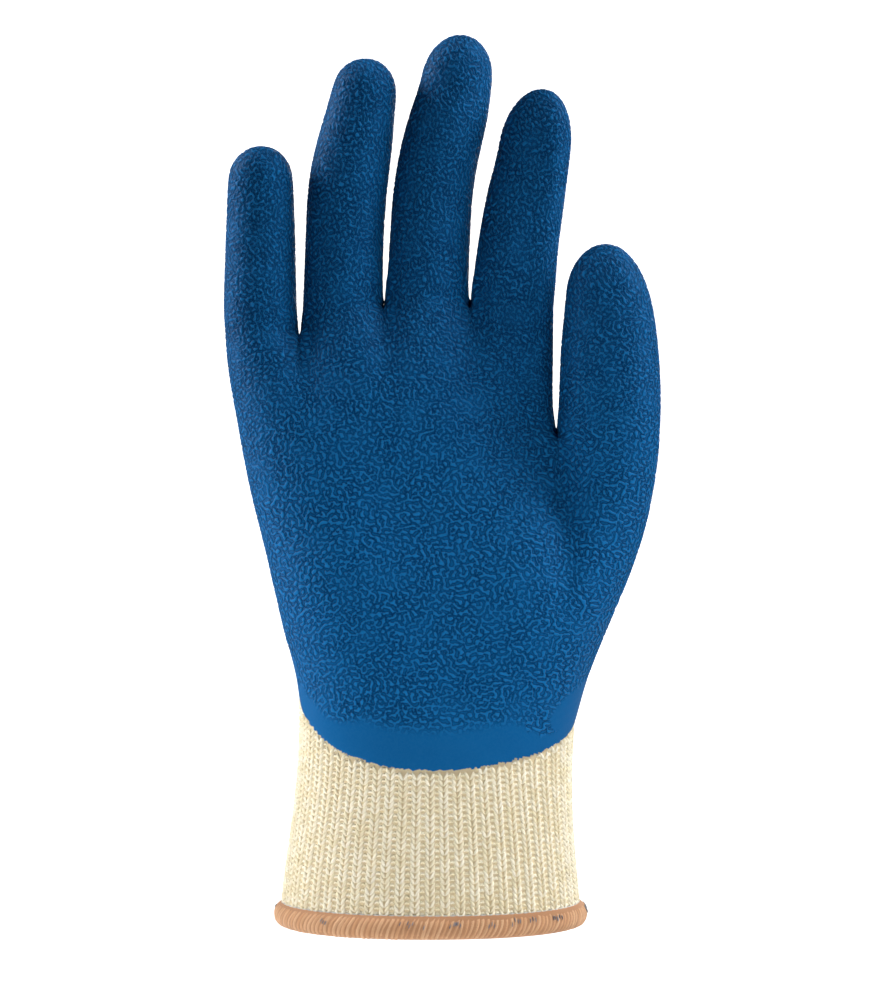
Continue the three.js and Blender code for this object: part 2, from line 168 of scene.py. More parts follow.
def subdivided(mesh, name, levels):
    # smooth form through the points of the cage: the cage is first swelled by what smoothing takes away
    obj = bpy.data.objects.new(name, mesh)
    bpy.context.scene.collection.objects.link(obj)
    smooth = obj.modifiers.new("smooth", "SUBSURF")
    smooth.levels = levels
    smooth.render_levels = levels
    cage = points(mesh)
    wanted = cage.copy()
    for _ in range(2):
        now = evaluated(obj, "trial")
        cage += wanted - points(now)[:len(cage)]
        bpy.data.meshes.remove(now)
        setPoints(mesh, cage)
    result = evaluated(obj, name)
    bpy.data.objects.remove(obj)
    bpy.data.meshes.remove(mesh)
    smoothShading(result)
    return result


def floatAttribute(mesh, name, values):
    attribute = mesh.attributes.new(name, "FLOAT", "POINT")
    attribute.data.foreach_set("value", np.asarray(values, np.float32))


def surfaceOf(mesh):
    corners = [tuple(p.vertices) for p in mesh.polygons]
    return BVHTree.FromPolygons([tuple(p) for p in points(mesh)], corners)


def step(low, high, at):
    t = np.clip((at - low) / (high - low), 0, 1)
    return t * t * (3 - 2 * t)


# Small changes to the smooth form: the palm is hollow beside the thumb, which stands a little forward.
# A pair of numbers is where a change starts and where it is complete.
hollow = {
    "x": 0.0235,
    "z": 0.1500,
    "across": 0.0160,
    "up": 0.0250,
    "depth": 0.0045,
    "front": (-0.006, 0.002),  # from here backwards the hollow fades out
}
thumb = {"forward": 0.0045, "x": (0.0250, 0.0420), "z": (0.108, 0.150)}

# The gaps between fingers end in a sharp V: the middle of each gap, the height of its end,
# how far that is lowered, and the height below which the gap is shut
fingerGaps = [
    {"x": -0.0130, "end": 0.1820, "lower": 0.0096, "shut": 0.1735},
    {"x": 0.0112, "end": 0.1795, "lower": 0.0074, "shut": 0.1735},
    {"x": 0.0354, "end": 0.1385, "lower": 0.0018, "shut": 0.1370},
    {"x": -0.0366, "end": 0.1665, "lower": 0.0008, "shut": 0.1650},
]

gapReach = {
    "across": (0.0020, 0.0085),
    "behind": (-0.0070, -0.0015),  # the palm side of the web stays where it is
    "below": (0.020, 0.001),
    "above": (0.002, 0.026),
    "pinchAcross": (0.0010, 0.0036),
    "pinchAbove": (0.001, 0.009),
    "pinch": 0.55,
    "shutFade": (0.002, 0.001),
    "shut": 0.38,
}


def reshaped(at):
    # lowers the end of each gap and pinches it, fading out over the palm and along the fingers
    at = at.copy()
    for gap in fingerGaps:
        end = gap["end"]
        side = at[:, 0] - gap["x"]
        near = (1 - step(*gapReach["across"], np.abs(side))) * step(*gapReach["behind"], at[:, 1])
        up = step(end - gapReach["below"][0], end - gapReach["below"][1], at[:, 2])
        up = up * (1 - step(end + gapReach["above"][0], end + gapReach["above"][1], at[:, 2]))
        pinch = up * (1 - step(*gapReach["pinchAcross"], np.abs(side)))
        pinch = pinch * (1 - step(end + gapReach["pinchAbove"][0], end + gapReach["pinchAbove"][1], at[:, 2]))
        low, high = gap["shut"] - gapReach["shutFade"][0], gap["shut"] + gapReach["shutFade"][1]
        closed = pinch * (1 - step(low, high, at[:, 2] - gap["lower"] * near))
        at[:, 0] -= side * (pinch * gapReach["pinch"] + closed * gapReach["shut"])
        at[:, 2] -= gap["lower"] * near * up
    x, y, z = at.T
    far = ((x - hollow["x"]) / hollow["across"]) ** 2 + ((z - hollow["z"]) / hollow["up"]) ** 2
    front = 1 - step(*hollow["front"], y)
    onThumb = step(*thumb["x"], x) * step(*thumb["z"], z)
    at[:, 1] += hollow["depth"] * np.exp(-far) * front * (1 - onThumb) - thumb["forward"] * onThumb
    return at


# Camera, lights and the pale room, in metres and watts
studio = {
    "viewCentre": (0.0029, 0.1189),  # across and up
    "viewDistance": 0.70,
    "viewHeight": 0.28155,  # height of the picture where the glove is
    "worldStrength": 0.01,
    "aimHeight": 0.12,  # where a lamp points, unless it has its own aim
    "floorHeight": -0.32,
    "floorFront": -3.0,
    "bendStart": 1.2,
    "bendRadius": 0.8,
    "wallTop": 3.0,
    "halfWidth": 3.5,
    "backdropSeen": 1.1,
    "backdropLight": 0.02,
    "lamps": [
        {"name": "leftRimLamp", "at": (-0.835, 0.147, 0.650), "size": 0.45, "power": 9.2},
        {"name": "leftLowLamp", "at": (-0.985, 0.174, 0.120), "size": 0.45, "power": 1.8},
        {"name": "rightRimLamp", "at": (0.845, -0.074, 0.650), "size": 0.45, "power": 7.3},
        {"name": "rightLowLamp", "at": (0.940, -0.342, 0.120), "size": 0.45, "power": 0.6},
        {"name": "rightTopLamp", "at": (0.406, -0.235, 1.003), "size": 0.45, "power": 5.2},
        {"name": "frontLowLamp", "at": (0.050, -0.400, -0.120), "size": 0.12, "power": 0.48},
        {
            "name": "heelLamp", "at": (-0.200, -0.220, -0.080), "size": 0.12, "power": 0.025,
            "aim": 0.080, "beam": 45,  # degrees
        },
        {"name": "sideLamp", "at": (-0.300, -0.020, 0.200), "size": 0.12, "power": 0.11},
        {"name": "backLamp", "at": (0.25, 0.95, 0.45), "size": 0.70, "power": 5.0},
    ],
}


def makeStudio():
    scene = bpy.context.scene
    camera = bpy.data.objects.new("camera", bpy.data.cameras.new("camera"))
    scene.collection.objects.link(camera)
    across, up = studio["viewCentre"]
    camera.location = (across, -studio["viewDistance"], up)
    camera.rotation_euler = (math.pi / 2, 0, 0)
    camera.data.sensor_width = 36
    camera.data.lens = 36 * studio["viewDistance"] / studio["viewHeight"]
    camera.data.clip_start = 0.05
    camera.data.clip_end = 20
    scene.camera = camera
    for lamp in studio["lamps"]:
        data = bpy.data.lights.new(lamp["name"], "AREA")
        data.shape = "DISK"
        data.size = lamp["size"]
        data.energy = lamp["power"]
        data.spread = math.radians(lamp.get("beam", 180))
        light = bpy.data.objects.new(lamp["name"], data)
        light.location = lamp["at"]
        aim = Vector((0, 0, lamp.get("aim", studio["aimHeight"]))) - light.location
        light.rotation_euler = aim.to_track_quat("-Z", "Y").to_euler()
        light.visible_camera = False
        scene.collection.objects.link(light)
    world = bpy.data.worlds.new("room")
    scene.world = world
    world.use_nodes = True
    background = world.node_tree.nodes["Background"]
    background.inputs[0].default_value = (1, 1, 1, 1)
    seen = world.node_tree.nodes.new("ShaderNodeLightPath").outputs["Is Camera Ray"]
    glow = ramp(world.node_tree, seen, 0.0, 1.0, studio["worldStrength"], studio["backdropSeen"])
    world.node_tree.links.new(glow, background.inputs[1])
    scene.view_settings.view_transform = "Standard"

    # a floor that curves up into a wall behind
    low, bend, radius = studio["floorHeight"], studio["bendStart"], studio["bendRadius"]
    profile = [(studio["floorFront"], low), (bend, low)]
    for a in np.linspace(0, math.pi / 2, 9)[1:]:
        profile.append((bend + radius * math.sin(a), low + radius * (1 - math.cos(a))))
    profile.append((bend + radius, studio["wallTop"]))
    b = bmesh.new()
    rows = [[b.verts.new((x, y, z)) for x in (-studio["halfWidth"], studio["halfWidth"])] for y, z in profile]
    for lower, upper in zip(rows, rows[1:]):
        b.faces.new((lower[0], lower[1], upper[1], upper[0]))
    mesh = bpy.data.meshes.new("backdrop")
    b.to_mesh(mesh)
    b.free()
    smoothShading(mesh)
    material, tree, shader = newMaterial("paleBackdrop")
    shader.inputs["Base Color"].default_value = (0.85, 0.85, 0.85, 1)
    shader.inputs["Roughness"].default_value = 0.9
    shader.inputs["Emission Color"].default_value = (1, 1, 1, 1)
    seen = tree.nodes.new("ShaderNodeLightPath").outputs["Is Camera Ray"]
    glow = ramp(tree, seen, 0.0, 1.0, studio["backdropLight"], studio["backdropSeen"])
    tree.links.new(glow, shader.inputs["Emission Strength"])
    newPiece("backdrop", mesh, material)
    print("studio ready")


# The crinkled rubber skin. Lengths are in metres.
coating = {
    "levels": 3,
    "grain": 0.00046,  # size of the fine mesh that carries the crinkle
    "inner": 0.00048,  # what lies closer to the knit than this is the inside of the skin and is left out
    "relief": 0.00026,  # height of the ridges
    "sharpen": 0.00022,  # depth of the bump on top of them
    "rounds": 8,
    "drive": 7.0,
    "ridgeShare": 0.0,  # more than 0 makes the ridges narrower than what lies between
    "seed": 7,
    "raise": 0.0030,  # how far the lower edge comes up in front
    "raised": (0.050, 0.098),  # heights between which that fades out
    "frontDepth": 0.029,
    "bandFront": 0.0105,  # smooth strip above the lower edge
    "bandLeft": 0.0060,
    "bandRight": 0.0035,
    "bandBack": 0.0040,
    "bandFingers": 0.0025,
    "leftFrom": (-0.020, -0.031),
    "rightFrom": (0.022, 0.034),
    "backFrom": 0.004,
    "fingersFrom": 0.070,
    "base": (srgb(13, 89, 147), srgb(14, 91, 149)),
    # the lighter crest colour is a painted highlight
    "ridge": srgb(27, 116, 181),
    # the dark colour in the furrows beside the crests is painted shade
    "creaseShade": srgb(3, 38, 74),
    "speck": srgb(60, 125, 175),
    "line": srgb(5, 50, 92),  # fine grooves along the fingers, darker: painted shade in them
    "fingers": (0.140, 0.170),
    "roughness": 0.48,
    "cuts": (0.088, 0.128, 0.172),  # heights where the skin is divided into pieces
    # shallow creases at the base of the thumb: from, to, height at the start, slope, depth
    "folds": [
        (0.0330, 0.0560, 0.0870, 0.06, 0.00030),
        (0.0200, 0.0420, 0.0890, -0.05, 0.00020),
        (0.0420, 0.0590, 0.0905, 0.10, 0.00018),
    ],
    "foldWidth": 0.00045,
    "foldFade": 0.006,
}


def latexMaterial():
    material, tree, shader = newMaterial("crinkledLatex")
    where = tree.nodes.new("ShaderNodeTexCoord").outputs["Object"]
    ridge = addNode(tree, "ShaderNodeAttribute", attribute_name="ridge").outputs["Fac"]
    amount = addNode(tree, "ShaderNodeAttribute", attribute_name="amount").outputs["Fac"]
    blotch = noise(tree, where, 55.0, 3.0, 0.6).outputs[0]
    speck = noise(tree, where, 1500.0, 3.0, 0.65).outputs[0]
    # fine lines that run along the fingers, dug in by the bump and darkened in colour as painted shade
    drawn = addNode(tree, "ShaderNodeMapping", {"Vector": where, "Scale": (1.0, 1.0, 0.16)}).outputs[0]
    streak = noise(tree, drawn, 1150.0, 2.0, 0.5).outputs[0]
    place = addNode(tree, "ShaderNodeSeparateXYZ", {0: where})
    fingers = ramp(tree, place.outputs[2], *coating["fingers"])
    # light crests with a dark line on each side, on a middle tone: the crests and lines are also bumped, and
    # their colour adds a painted highlight on the crests and painted shade in the dark lines
    crest = product(tree, ramp(tree, ridge, 0.66, 0.90), amount)
    furrow = product(tree, ramp(tree, ridge, 0.62, 0.46), ramp(tree, ridge, 0.10, 0.34, 0.12, 1.0), amount)
    base = mixColour(tree, ramp(tree, blotch, 0.35, 0.65), *coating["base"])
    base = mixColour(tree, ramp(tree, speck, 0.3, 0.7, 0.0, 0.08), base, coating["speck"])
    # painted shade in the furrows, then a painted highlight on the crests
    colour = mixColour(tree, product(tree, furrow, 0.72), base, coating["creaseShade"])
    colour = mixColour(tree, product(tree, crest, 0.9), colour, coating["ridge"])
    lines = product(tree, ramp(tree, streak, 0.35, 0.65), product(tree, fingers, 0.35))
    # painted shade in the fine grooves along the fingers
    colour = mixColour(tree, lines, colour, coating["line"])
    tree.links.new(colour, shader.inputs["Base Color"])
    rough = ramp(tree, speck, 0.2, 0.8, coating["roughness"] - 0.06, coating["roughness"] + 0.08)
    tree.links.new(rough, shader.inputs["Roughness"])
    shader.inputs["Specular IOR Level"].default_value = 0.14
    shader.inputs["Specular Tint"].default_value = (0.08, 0.42, 1.0, 1.0)
    height = maths(tree, "SUBTRACT", product(tree, crest, 0.6), product(tree, furrow, 0.6))
    height = maths(tree, "ADD", height, product(tree, speck, 0.16))
    height = maths(tree, "SUBTRACT", height, product(tree, lines, 0.5))
    bump = addNode(tree, "ShaderNodeBump", {"Strength": 1.0, "Distance": coating["sharpen"], "Height": height})
    tree.links.new(bump.outputs[0], shader.inputs["Normal"])
    return material


def finelyMeshed(mesh, size):
    # the grid of the fine mesh stands on a corner, so the palm gets the most points
    turn = Vector((0, -1, 0)).rotation_difference(Vector((1, 1, 1))).to_matrix().to_4x4()
    mesh.transform(turn)
    obj = bpy.data.objects.new("fine", mesh)
    bpy.context.scene.collection.objects.link(obj)
    remesh = obj.modifiers.new("remesh", "REMESH")
    remesh.mode = "VOXEL"
    remesh.voxel_size = size
    fine = evaluated(obj, "fine")
    bpy.data.objects.remove(obj)
    fine.transform(turn.inverted())
    return fine


def keepOnly(mesh, keep, context="VERTS"):
    b = bmesh.new()
    b.from_mesh(mesh)
    parts = b.verts if context == "VERTS" else b.faces
    bmesh.ops.delete(b, geom=[v for v, k in zip(parts, keep) if not k], context=context)
    b.to_mesh(mesh)
    b.free()


def neighbours(mesh, at, upright):
    # pairs of points, how strongly each pair agrees, and the sum of that for each point
    pairs = np.empty(len(mesh.edges) * 2, np.int32)
    mesh.edges.foreach_get("vertices", pairs)
    a, b = pairs.reshape(-1, 2).T
    way = at[a] - at[b]
    share = way[:, 2] ** 2 / np.maximum((way ** 2).sum(1), 1e-14)
    pull = np.maximum(1 + (upright[a] + upright[b]) * (share - 0.5), 0.1)
    count = len(at)
    total = np.bincount(a, pull, count) + np.bincount(b, pull, count)
    return a, b, pull, np.maximum(total, 1e-6)


def spread(values, links, passes, share=0.8):
    # evens values out between neighbouring points
    a, b, pull, total = links
    for _ in range(passes):
        around = np.bincount(a, values[b] * pull, len(values)) + np.bincount(b, values[a] * pull, len(values))
        values = values * (1 - share) + around / total * share
    return values


def softNoise(at, size, seed):
    # slow variation from -1 to 1
    shift = Vector((seed * 3.7, seed * 1.3, seed * 7.1))
    return np.array([softly(Vector(p) / size + shift) for p in at])


def crinkleRidges(links, at, coarse):
    # winding ridges: near neighbours agree and those a little further off differ
    random = np.random.default_rng(coating["seed"])
    field = random.uniform(-1, 1, len(at))
    bias = coating["ridgeShare"] + 0.05 * softNoise(at, 0.004, 3)
    for _ in range(coating["rounds"]):
        one = spread(field, links, 1, 0.5)
        two = spread(one, links, 1, 0.4)
        three = spread(two, links, 2, 0.8)
        five = spread(three, links, 2, 0.8)
        drive = (one - three) * (1 - coarse) + (two - five) * coarse * 1.2
        field = np.tanh(drive * coating["drive"] - bias)
    # one more pass without the hard limit keeps every ridge as narrow as the rest
    one = spread(field, links, 1, 0.7)
    field = one - 0.8 * spread(one, links, 4)
    low, high = np.percentile(field, (4, 96))
    return np.clip((field - low) / (high - low), 0, 1)


def pointNormals(mesh):
    normals = np.empty(len(mesh.vertices) * 3, np.float32)
    mesh.vertices.foreach_get("normal", normals)
    return normals.reshape(-1, 3)


def raised(at):
    # brings the lower edge up in front, and keeps the skin as far off the knit as it was
    at = at.copy()
    share = (1 - step(*coating["raised"], at[:, 2])) * np.clip(-at[:, 1] / coating["frontDepth"], 0, 1)
    for i in np.flatnonzero(share > 0.001):
        off = plainGround.find_nearest(at[i])[3]
        spot, facing, index, far = plainGround.find_nearest(at[i] + (0, 0, coating["raise"] * share[i]))
        at[i] = spot + facing * off
    return at


def makeCoating():
    smooth = subdivided(cageOf("latex_coating"), "latexSmooth", coating["levels"])
    mesh = finelyMeshed(smooth.copy(), coating["grain"])
    above = np.array([plainGround.find_nearest(p)[3] for p in points(mesh)])
    keepOnly(mesh, above > coating["inner"])
    setPoints(mesh, reshaped(raised(points(mesh))))
    setPoints(smooth, reshaped(raised(points(smooth))))
    skin = surfaceOf(smooth)
    smoothShading(mesh)
    at = points(mesh)
    b = bmesh.new()
    b.from_mesh(mesh)
    rim = sorted({v.index for e in b.edges if e.is_boundary for v in e.verts})
    b.free()
    tree = KDTree(len(rim))
    for i in rim:
        tree.insert(at[i], i)
    tree.balance()
    far = np.empty(len(at))
    near = np.empty((len(at), 3))
    for i, p in enumerate(at):
        near[i], index, far[i] = tree.find(p)
    # no crinkle in a strip along the edge, which is widest in front
    left = step(*coating["leftFrom"], near[:, 0])
    right = step(*coating["rightFrom"], near[:, 0])
    width = coating["bandFront"] * (1 - left) * (1 - right)
    width += coating["bandLeft"] * left + coating["bandRight"] * right
    width[near[:, 1] > coating["backFrom"]] = coating["bandBack"]
    width[near[:, 2] > coating["fingersFrom"]] = coating["bandFingers"]
    amount = step(0.8, 1.25, far / width)

    # the crinkle is coarser on the lower palm and runs upwards on the fingers
    x, y, z = at.T
    upright = 0.55 * step(0.150, 0.185, z) + 0.25 * softNoise(at, 0.010, 4)
    links = neighbours(mesh, at, upright)
    coarse = np.clip(1.0 - 0.75 * step(0.115, 0.150, z) + 0.45 * softNoise(at, 0.011, 1), 0, 1)
    ridge = crinkleRidges(links, at, coarse)
    amount *= np.clip(0.90 + 0.4 * softNoise(at, 0.006, 2), 0.45, 1.0)
    height = (step(0.30, 0.95, ridge) - 0.4) * amount * coating["relief"]
    for start, end, level, slope, depth in coating["folds"]:
        wavy = level + slope * (x - start) + 0.0004 * np.sin(x / 0.0016)
        fade = coating["foldFade"]
        inside = step(start, start + fade, x) * (1 - step(end - fade, end, x)) * (y < 0)
        height -= depth * inside * np.exp(-((z - wavy) / coating["foldWidth"]) ** 2)
    setPoints(mesh, at + pointNormals(mesh) * height[:, None])
    floatAttribute(mesh, "ridge", ridge)
    floatAttribute(mesh, "amount", amount)
    normals = pointNormals(mesh).copy()
    whole = mesh.attributes.new("whole", "FLOAT_VECTOR", "POINT")
    whole.data.foreach_set("vector", normals.ravel())

    # divided into pieces that shade as one
    material = latexMaterial()
    middles = np.empty(len(mesh.polygons) * 3, np.float32)
    mesh.polygons.foreach_get("center", middles)
    middles = middles.reshape(-1, 3)[:, 2]
    cuts = (-1.0,) + coating["cuts"] + (1.0,)
    for name, low, high in zip(("coatHeel", "coatPalm", "coatKnuckles", "coatFingers"), cuts, cuts[1:]):
        part = mesh.copy()
        keepOnly(part, (middles >= low) & (middles < high), "FACES")
        normals = np.empty(len(part.vertices) * 3, np.float32)
        part.attributes["whole"].data.foreach_get("vector", normals)
        part.normals_split_custom_set_from_vertices(normals.reshape(-1, 3).tolist())
        part.attributes.remove(part.attributes["whole"])
        settle(newPiece(name, part, material), "latex", "latex_coating")
    return skin


# Node trees that make strands, for the knit and the hem
def strandScaffold(name, floats, whole):
    # a tree for a modifier, with a mesh and these numbers as inputs
    tree = bpy.data.node_groups.new(name, "GeometryNodeTree")
    face = tree.interface
    face.new_socket("Geometry", in_out="INPUT", socket_type="NodeSocketGeometry")
    for label in floats:
        face.new_socket(label, in_out="INPUT", socket_type="NodeSocketFloat")
    face.new_socket(whole, in_out="INPUT", socket_type="NodeSocketInt")
    face.new_socket("Geometry", in_out="OUTPUT", socket_type="NodeSocketGeometry")
    return tree, tree.nodes.new("NodeGroupInput").outputs, tree.nodes.new("NodeGroupOutput").inputs


def tube(tree, curve, sides, thick):
    ring = addNode(tree, "GeometryNodeCurvePrimitiveCircle", {"Resolution": sides, "Radius": 1.0})
    made = addNode(tree, "GeometryNodeCurveToMesh", {
        "Curve": curve, "Profile Curve": ring.outputs[0], "Scale": thick, "Fill Caps": True,
    })
    return addNode(tree, "GeometryNodeSetShadeSmooth", {"Geometry": made.outputs[0]}).outputs[0]


def realised(tree, geometry, material, socket):
    real = addNode(tree, "GeometryNodeRealizeInstances", {"Geometry": geometry})
    painted = addNode(tree, "GeometryNodeSetMaterial", {"Geometry": real.outputs[0], "Material": material})
    tree.links.new(painted.outputs[0], socket)


def grown(name, mesh, tree, sizes):
    # the piece that the tree makes from a mesh of points or edges
    obj = bpy.data.objects.new(name, mesh)
    bpy.context.scene.collection.objects.link(obj)
    modifier = obj.modifiers.new("strands", "NODES")
    modifier.node_group = tree
    for item in tree.interface.items_tree:
        if item.in_out == "INPUT" and item.name in sizes:
            modifier[item.identifier] = sizes[item.name]
    made = evaluated(obj, name)
    bpy.data.objects.remove(obj)
    piece = bpy.data.objects.new(name, made)
    bpy.context.scene.collection.objects.link(piece)
    return piece


# Yarn, which the knit and the hem share
def yarnGroup():
    # uneven tone along the yarn and the fuzz of its fibres
    tree = bpy.data.node_groups.new("yarn", "ShaderNodeTree")
    face = tree.interface
    for name, default in (("Blotch Size", 0.004), ("Fibre Size", 0.0004)):
        face.new_socket(name, in_out="INPUT", socket_type="NodeSocketFloat").default_value = default
    for name in ("Tone", "Fuzz"):
        face.new_socket(name, in_out="OUTPUT", socket_type="NodeSocketFloat")
    given = tree.nodes.new("NodeGroupInput").outputs
    out = tree.nodes.new("NodeGroupOutput").inputs
    where = tree.nodes.new("ShaderNodeTexCoord").outputs["Object"]
    blotch = noise(tree, where, maths(tree, "DIVIDE", 1.0, given["Blotch Size"]), 2.0, 0.55).outputs[0]
    fibre = noise(tree, where, maths(tree, "DIVIDE", 1.0, given["Fibre Size"]), 2.0, 0.6).outputs[0]
    own = addNode(tree, "ShaderNodeAttribute", attribute_name="tone").outputs["Fac"]
    tone = maths(tree, "ADD", product(tree, blotch, 0.5), product(tree, own, 0.5))
    lint = product(tree, maths(tree, "SUBTRACT", fibre, 0.5), 0.3)
    tree.links.new(maths(tree, "ADD", tone, lint), out["Tone"])
    tree.links.new(fibre, out["Fuzz"])
    return tree


def yarnMaterial(name, dark, light, fuzz):
    material, tree, shader = newMaterial(name)
    yarn = tree.nodes.new("ShaderNodeGroup")
    yarn.node_tree = yarnNodes
    tone = ramp(tree, yarn.outputs["Tone"], 0.2, 0.8)
    tree.links.new(mixColour(tree, tone, dark, light), shader.inputs["Base Color"])
    shader.inputs["Roughness"].default_value = 0.85
    shader.inputs["Specular IOR Level"].default_value = 0.2
    shader.inputs["Sheen Weight"].default_value = 0.15
    shader.inputs["Sheen Roughness"].default_value = 0.5
    bump = addNode(tree, "ShaderNodeBump", {"Strength": 0.6, "Distance": fuzz, "Height": yarn.outputs["Fuzz"]})
    tree.links.new(bump.outputs[0], shader.inputs["Normal"])
    return material


def strandTree(name, strands, material, sides=5, segments=4):
    # sets the same few bent strands on every point, turned to the surface
    tree, given, out = strandScaffold(name, ("Width", "Height", "Depth", "Yarn", "Uneven"), "Seed")
    join = tree.nodes.new("GeometryNodeJoinGeometry")
    for strand in strands:
        ends = []
        for x, y, z in strand:
            sizes = (("Width", x), ("Height", y), ("Depth", z))
            parts = {i: product(tree, given[label], share) for i, (label, share) in enumerate(sizes)}
            ends.append(addNode(tree, "ShaderNodeCombineXYZ", parts).outputs[0])
        curve = tree.nodes.new("GeometryNodeCurvePrimitiveBezierSegment")
        curve.mode = "POSITION"
        curve.inputs["Resolution"].default_value = segments
        for index, socket in enumerate(ends, 1):
            tree.links.new(socket, curve.inputs[index])
        tree.links.new(curve.outputs[0], join.inputs[0])
    # a strand is thinner at both ends
    along = tree.nodes.new("GeometryNodeSplineParameter").outputs["Factor"]
    off = maths(tree, "ABSOLUTE", maths(tree, "SUBTRACT", product(tree, along, 2.0), 1.0))
    middle = maths(tree, "SUBTRACT", 1.0, off)
    thick = product(tree, ramp(tree, middle, 0.0, 0.6, 0.55, 1.0), given["Yarn"])
    dense = addNode(tree, "GeometryNodeResampleCurve", {"Curve": join.outputs[0]}, mode="EVALUATED")
    soft = tube(tree, dense.outputs[0], sides, thick)

    def named(label):
        node = tree.nodes.new("GeometryNodeInputNamedAttribute")
        node.data_type = "FLOAT_VECTOR"
        node.inputs["Name"].default_value = label
        return node.outputs[0]

    turn = "FunctionNodeAlignRotationToVector"
    facing = addNode(tree, turn, {"Vector": named("facing")}, axis="Z")
    upright = {"Rotation": facing.outputs[0], "Vector": named("up")}
    turned = addNode(tree, turn, upright, axis="Y", pivot_axis="Z")
    low, high = (maths(tree, way, 1.0, given["Uneven"]) for way in ("SUBTRACT", "ADD"))
    vary = addNode(tree, "FunctionNodeRandomValue", {2: low, 3: high, "Seed": given["Seed"]})
    placed = addNode(tree, "GeometryNodeInstanceOnPoints", {
        "Points": given["Geometry"], "Instance": soft, "Rotation": turned.outputs[0], "Scale": vary.outputs[1],
    })
    # every strand keeps a tone of its own, which the yarn material reads
    tone = addNode(tree, "FunctionNodeRandomValue", {"Seed": maths(tree, "ADD", given["Seed"], 5.0)})
    marked = addNode(tree, "GeometryNodeStoreNamedAttribute", {
        "Geometry": placed.outputs[0], "Name": "tone", "Value": tone.outputs[1],
    }, domain="INSTANCE")
    realised(tree, marked.outputs[0], material, out["Geometry"])
    return tree


def strandPiece(name, places, tree, sizes):
    # places are rows of a point, the way it faces and the way up
    at, facing, up = (np.array([p[i] for p in places], np.float32) for i in range(3))
    mesh = bpy.data.meshes.new(name)
    mesh.from_pydata([tuple(p) for p in at], [], [])
    for label, values in (("facing", facing), ("up", up)):
        mesh.attributes.new(label, "FLOAT_VECTOR", "POINT").data.foreach_set("vector", values.ravel())
    piece = grown(name, mesh, tree, sizes)
    for label in ("facing", "up"):
        if label in piece.data.attributes:
            piece.data.attributes.remove(piece.data.attributes[label])
    return piece


# The knitted lining: a smooth ground with a stitch on every place that shows. Lengths are in metres.
liner = {
    "levels": 1,
    # the ground is coloured darker than the yarn: painted shade in the gaps between stitches
    "ground": (srgb(226, 209, 172), srgb(238, 225, 192)),
    "yarn": (srgb(240, 229, 198), srgb(251, 244, 224)),
    "ribs": 54,  # raised columns round the cuff
    "course": 0.00155,  # height of a row of stitches
    "cuffFrom": 0.0052,
    "cuffTo": 0.0640,
    "ribHeight": 0.030,  # height at which the columns are spaced evenly
    "wale": 0.00193,  # width of a plain column on the back of the hand
    "backFrom": (-0.062, 0.072),  # across the hand
    "backTo": 0.2500,
    "backStep": 0.0003,
    "backSplit": 0.135,  # height at which the back is divided into two pieces
    "knit": {"Width": 0.00242, "Depth": 0.00050, "Yarn": 0.00046, "Uneven": 0.05, "Seed": 1},
    "purl": {"Width": 0.00092, "Depth": 0.00008, "Yarn": 0.00042, "Uneven": 0.06, "Seed": 2},
    "plain": {"Width": 0.00140, "Depth": 0.00045, "Yarn": 0.00038, "Uneven": 0.05, "Seed": 3},
}
outside = 0.09  # farther out than any part of the glove, where rays towards the knit start


def makeGround():
    fine = subdivided(cageOf("knit_liner"), "knitFine", 2)
    plain = surfaceOf(fine)
    setPoints(fine, reshaped(points(fine)))
    mesh = subdivided(cageOf("knit_liner"), "knitLiner", liner["levels"])
    setPoints(mesh, reshaped(points(mesh)))
    # the darker ground is painted shade between the stitches
    material = yarnMaterial("knitGroundShade", *liner["ground"], 0.00012)
    settle(newPiece("knitLiner", mesh, material), "knit", "knit_liner")
    return surfaceOf(fine), plain


def bare(skin, at, facing):
    # true where no rubber lies over the knit
    return skin.ray_cast(at + facing * 0.00005, facing, 0.0025)[0] is None


def cuffColumns(count, height):
    # directions from the middle of the cuff to evenly spaced columns, the first one in front
    angles = np.linspace(-math.pi / 2, 1.5 * math.pi, 1441)
    ring = []
    for a in angles:
        way = Vector((math.cos(a), math.sin(a), 0))
        ring.append(ground.ray_cast(way * outside + Vector((0, 0, height)), -way)[0])
    far = np.concatenate([[0], np.cumsum([(b - a).length for a, b in zip(ring, ring[1:])])])
    return np.interp(np.arange(count) / count * far[-1], far, angles)


def column(angle, heights):
    way = Vector((math.cos(angle), math.sin(angle), 0))
    found = []
    for z in heights:
        at, facing, index, far = ground.ray_cast(way * outside + Vector((0, 0, z)), -way)
        found.append((at, facing))
    places = []
    for i, (at, facing) in enumerate(found):
        j = min(i, len(found) - 2)
        up = (found[j + 1][0] - found[j][0]).normalized()
        places.append((at, facing, up))
    return places


def stitchLegs(foot):
    # the two legs of a stitch that make a V: width, height and depth as shares of the stitch
    leg = ((foot, -0.80, -0.3), (0.20, -0.45, 1.0), (0.46, 0.05, 1.0), (0.50, 0.62, -0.5))
    return [[(side * x, y, z) for x, y, z in leg] for side in (-1, 1)]


